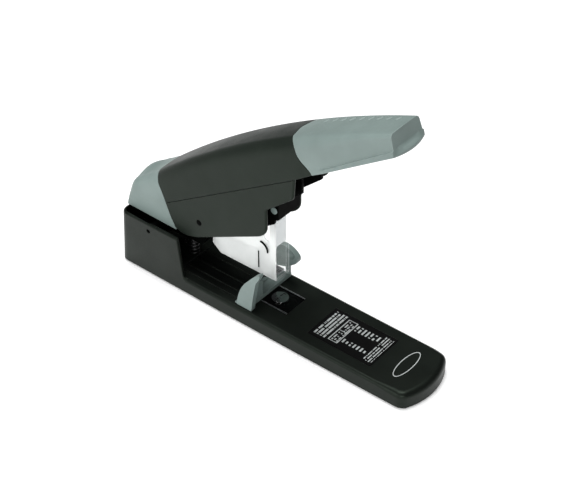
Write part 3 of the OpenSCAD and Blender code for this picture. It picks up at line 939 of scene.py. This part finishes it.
def side_outline():
    """Outline of a side cover: lower edge from the cap to the nose, then back along the seam."""
    rear, front = Vector((-101, 76.6 - SEAM)), Vector((31, 158.6 - SEAM))
    points = bezier(rear, (-97, 64), (-90.5, 55), 8)
    points += bezier((-90.5, 55), (-84, 50.5), (-68, 57), 10)[1:]
    points += bezier((-5, 88.8), (4, 93.6), (4, 102), 10)
    points += [Vector((4, 116)), *bezier((4, 117), (4, 118.6), (6, 120), 4), Vector((27, 137.6)),
               *bezier((28, 138.5), (30, 140.2), (30, 143), 5), front]
    return points


def side_roundness(low, high):
    """Full bevel on the outer lower edge only."""
    outer = min(abs(low.y), abs(high.y)) > HALF_W - 0.1
    at_seam = low.z > along(LOWER_EDGE, low.x) - 1.2
    at_cap = high.x < -90
    return 1.0 if outer and not at_seam and not at_cap else 0.22


def make_side_covers():
    """Black lower side covers, each a plate with a rounded lower edge."""
    inner = HALF_W - 2.5
    for name, s in (("right", -1), ("left", 1)):
        plate = new_object(f"side_plate_{name}", prism(side_outline(), "Y", s * inner, s * HALF_W))
        weigh(plate, side_roundness, 20)
        bevel(plate, 1.7, 4, True)
        dress(plate, COVER, "handle", [f"side_cover_{name}"])


def make_rivets():
    """Domed rivet heads on the side covers, and their shanks."""
    sides = 24
    profile = [(0, 0.75), (1.1, 0.68), (2.0, 0.45), (2.6, 0.12), (2.7, -0.05), (2.0, -0.2),
               (2.0, -11.4), (1.7, -11.6), (0, -11.6)]
    bm = bmesh.new()
    for s in (-1, 1):
        rings = []
        for r, out in profile:
            turns = [2 * math.pi * k / sides for k in range(sides if r > 0 else 1)]
            rings.append([bm.verts.new((RIVET.x + r * math.cos(a), s * (HALF_W + out),
                                        RIVET.z + r * math.sin(a))) for a in turns])
        for a, b in zip(rings, rings[1:]):
            for k in range(sides):
                j = (k + 1) % sides
                around = [a[k % len(a)], a[j % len(a)], b[j % len(b)], b[k % len(b)]]
                bm.faces.new(list(dict.fromkeys(around)))
    rivets = new_object("side_rivets", bm)
    dress(rivets, ENAMEL, "handle", ["cover_rivets"])


# ---------- paper guide ----------

def wing_outline(far):
    """Side view of a finger tab; the far one is shorter and stands higher."""
    if far:
        return [Vector((-23, 24)), *bezier((-23.5, 28), (-25.5, 43), (-19, 47.6)),
                *bezier((-19, 47.6), (-9, 49.4), (-2.2, 42))[1:],
                *bezier((-2.2, 42), (0, 38.6), (-3.2, 34.6))[1:], Vector((-12.3, 27.4))]
    return [Vector((-23, 15.8)), *bezier((-22.5, 20), (-20, 36), (-9.3, 46.8)), Vector((-5.3, 51.7)),
            *bezier((-1.4, 55.4), (3, 59), (0.5, 52.5)), *bezier((-3, 46.3), (-6, 32), (-7.5, 19.1), 6),
            Vector((-8, 15.8))]


def make_guide():
    """Sliding paper guide: bar, wall, web and two finger tabs."""
    wall_x, thick, foot, wall_top = -14.2, 3.2, 15.8, 19.4
    tab_in, tab_out, bar_half = 22.8, 27.6, 27.1
    near = rounded(prism(wing_outline(False), "Y", -tab_out, -tab_in), 1.5, 4, 40)
    far = rounded(prism(wing_outline(True), "Y", tab_in, tab_out), 1.7, 4, 40)
    wall = rounded(box((wall_x, -bar_half, foot), (wall_x + thick, bar_half, wall_top)), 0.7)
    bar = rounded(box((-25, -bar_half, foot), (-12, bar_half, 17.2)), 0.4)
    ridge = rounded(box((-25, -10, foot + 0.1), (-22, 10, 18.8)), 0.6)
    runner = rounded(box((-24.9, -1.6, floor_low.z + 0.7), (-14.6, 7.6, 16.6)), 0.3)
    profile = [(-26, 16), (-26, 40), (-23.6, 37), (-22.4, 34.6), (-10, 34.6), (-9.2, 33.6), (-9.2, 16)]
    web = rounded(prism(profile, "X", wall_x + 0.1, wall_x + thick - 0.1), 0.5)
    post = rounded(box((wall_x, 23.7, 16), (wall_x + thick, 26.7, 29.8)), 0.6)
    guide = new_object("paper_guide_shell", near)
    combine(guide, [wall, bar, ridge, runner, web, post, far], "UNION")
    dish = bmesh.new()
    bmesh.ops.create_uvsphere(dish, u_segments=40, v_segments=24, radius=5)
    bmesh.ops.translate(dish, verts=dish.verts, vec=(-8.5, 20.6, 41.5))
    combine(guide, [dish])
    dress(guide, GREY, "guide", ["paper_guide"])


# ---------- anvil ----------

def make_anvil():
    """Glossy tray and its two bright rims."""
    rim, floor_thick, overlap = 0.8, 1, 0.1
    top = tray_low.z + floor_thick
    sheet = rounded(box(tray_low, (tray_high.x, tray_high.y, top)), 0.15)
    tray = new_object("anvil_tray_floor", sheet)
    screw_hole = round_bar((-0.5, 0), 2.1, "Z", 0, 30, 32)
    combine(tray, [screw_hole])
    dress(tray, GLOSS, "base", ["anvil_tray"])
    for name, s in (("right", -1), ("left", 1)):
        near, far = sorted((s * tray_high.y, s * (tray_high.y - rim)))
        strip = rounded(box((tray_low.x, near, top - overlap), (tray_high.x, far, tray_high.z)), 0.2)
        dress(new_object(f"anvil_rim_{name}", strip), STEEL, "base")


# ---------- springs and clip ----------

def coil_points(turns, radius, length, place, steps=20):
    """Points of a coil; place turns (across, up, along) into the frame."""
    n = int(turns * steps)
    points = []
    for i in range(n + 1):
        a = 2 * math.pi * turns * i / n
        points.append(place(radius * math.cos(a), radius * math.sin(a), length * i / n))
    return points


def make_spring(name, path, wire, body, node):
    """Coil of round wire along a path."""
    bm = bmesh.new()
    add_tube(bm, path, wire, 10, False)
    spring = new_object(name, bm)
    return dress(spring, WIRE, body, [node])


def make_magazine_coil():
    """Upright spring under the magazine's arm."""
    low, high = corners("magazine_spring")
    middle = (low + high) / 2
    wire, radius = 0.7, 4.4
    foot = low.z + wire
    path = coil_points(6, radius, high.z - wire - foot,
                       lambda a, b, c: Vector((middle.x + a, middle.y + b, foot + c)))
    coil = make_spring("magazine_coil", path, wire, "base", "magazine_spring")
    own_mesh(coil)


def make_pusher_coil():
    """Long spring on the pusher's rod."""
    low, high = corners("pusher_spring")
    rod_low, rod_high = corners("pusher_rod")
    z = (rod_low.z + rod_high.z) / 2
    wire, radius = 0.3, 2.3
    start = low.x + wire
    path = coil_points(11, radius, high.x - wire - start, lambda a, b, c: Vector((start + c, a, z + b)))
    coil = make_spring("pusher_coil", path, wire, "magazine", "pusher_spring")
    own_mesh(coil)


def make_pusher_mark():
    """Dark tab of the pusher that shows on the near side of the clear housing."""
    low, high = corners("pusher")
    wall = corners("magazine_housing")[0].y
    tab = box((high.x - 0.2, wall - 0.25, low.z + 3.6), (high.x + 0.9, wall + 0.1, high.z - 0.8))
    dress(new_object("pusher_mark", rounded(tab, 0.08, 2)), ENAMEL, "pusher")


def make_clip():
    """Curved wire catch on the near side of the clear housing."""
    low, high = corners("housing_clip")
    y = (low.y + high.y) / 2
    reach, rise, sweep = 7.6, 7.2, math.radians(100)
    path = []
    for i in range(17):
        a = sweep * i / 16
        path.append(Vector((low.x + 0.2 + reach * math.sin(a), y, low.z + rise * math.cos(a))))
    bm = bmesh.new()
    add_tube(bm, path, 0.75, 10)
    clip = new_object("housing_catch", bm)
    dress(clip, ENAMEL, "magazine", ["housing_clip"])


# ---------- carried-over CAD nodes ----------

def finish_node(node, material, width):
    """Paint a CAD node and soften its edges."""
    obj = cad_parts[node]
    obj.data.materials.clear()
    obj.data.materials.append(material)
    if width:
        weld = obj.modifiers.new("weld", "WELD")
        weld.merge_threshold = 0.00001
        flatten = obj.modifiers.new("flatten", "DECIMATE")
        flatten.decimate_type = "DISSOLVE"
        flatten.angle_limit = math.radians(1)
        bevel(obj, width, 2, angle=35)


# Material and edge width, in millimetres, of each CAD node that stays in view
NODE_FINISH = {
    "base_plate": (STEEL, 0.2), "rubber_feet": (RUBBER, 0.4), "base_screws": (STEEL, 0.15),
    "guide_rails": (RAIL, 0.25), "anvil_disc": (GLOSS_STEEL, 0.25), "anvil_screw": (DARK_STEEL, 0.15),
    "instruction_panel": (PANEL, 0.0), "badge": (INK, 0.05), "pivot_pin": (ENAMEL, 0.4),
    "pivot_clips": (ENAMEL, 0.15), "return_spring": (WIRE, 0.0), "magazine_housing": (CLEAR, 0.3),
    "magazine_arm": (ENAMEL, 0.25), "magazine_block": (MILKY, 0.4), "magazine_floor": (STEEL, 0.12),
    "pusher_rod": (STEEL, 0.2), "magazine_rivets": (MILKY, 0.2), "pusher": (ENAMEL, 0.15),
    "driver_blade": (STEEL, 0.12), "driver_head": (BLACK, 0.4), "driver_pin": (DARK_STEEL, 0.35),
    "handle_frame": (ENAMEL, 0.35), "front_pin": (GREY, 0.4), "lever_bar": (STEEL, 0.4),
    "lever_pins": (STEEL, 0.3), "cover_screws": (DARK_STEEL, 0.2),
}


def finish_nodes():
    for node, (material, width) in NODE_FINISH.items():
        finish_node(node, material, width)


# ---------- stage ----------

def make_floor():
    half, thick = 3000, 20
    floor = new_object("studio_floor", box((-half, -half, -thick), (half, half, 0)))
    floor.data.materials.append(floor_material())


def area_light(name, place, aim, size, power):
    """Rectangular lamp; places and sizes in metres, power in watts."""
    data = bpy.data.lights.new(name, "AREA")
    data.shape = "RECTANGLE"
    data.size, data.size_y = size
    data.energy = power
    lamp = bpy.data.objects.new(name, data)
    lamp.location = place
    lamp.rotation_euler = (Vector(aim) - Vector(place)).to_track_quat("-Z", "Y").to_euler()
    bpy.context.scene.collection.objects.link(lamp)


def make_lights():
    area_light("top_light", place=(-0.2, 0.1, 2.0), aim=(0, 0, 0), size=(1.2, 1.2), power=48)
    area_light("front_fill", place=(-0.4, -1.9, 0.8), aim=(0, 0, 0.1), size=(1.2, 0.8), power=18)
    area_light("camera_fill", place=(1.1, -1.5, 0.7), aim=(0, 0, 0.05), size=(0.7, 0.5), power=13)
    world = bpy.data.worlds.new("studio")
    world.use_nodes = True
    sky = world.node_tree.nodes["Background"]
    sky.inputs["Color"].default_value = (0.9, 0.95, 1.0, 1)
    sky.inputs["Strength"].default_value = 0.05
    bpy.context.scene.world = world
    bpy.context.scene.view_settings.view_transform = "Standard"


def make_camera():
    """Camera at the photo's angle: azimuth from -Y towards +X, distances in metres."""
    azimuth, elevation, distance = math.radians(38.92), math.radians(38.65), 1.100
    aim = Vector((0.00136, 0.01012, 0.05956))
    back = Vector((math.sin(azimuth) * math.cos(elevation), -math.cos(azimuth) * math.cos(elevation),
                   math.sin(elevation)))
    data = bpy.data.cameras.new("camera")
    data.lens = 86.5
    data.sensor_width = 36
    data.clip_start, data.clip_end = 0.05, 20
    camera = bpy.data.objects.new("camera", data)
    camera.location = aim + back * distance
    camera.rotation_euler = (-back).to_track_quat("-Z", "Y").to_euler()
    bpy.context.scene.collection.objects.link(camera)
    bpy.context.scene.camera = camera


make_base()
make_cover()
make_grip()
make_grip_ridges()
make_cap()
make_side_covers()
make_rivets()
make_guide()
make_anvil()
make_pusher_mark()
make_magazine_coil()
make_pusher_coil()
make_clip()
finish_nodes()
make_floor()
make_lights()
make_camera()
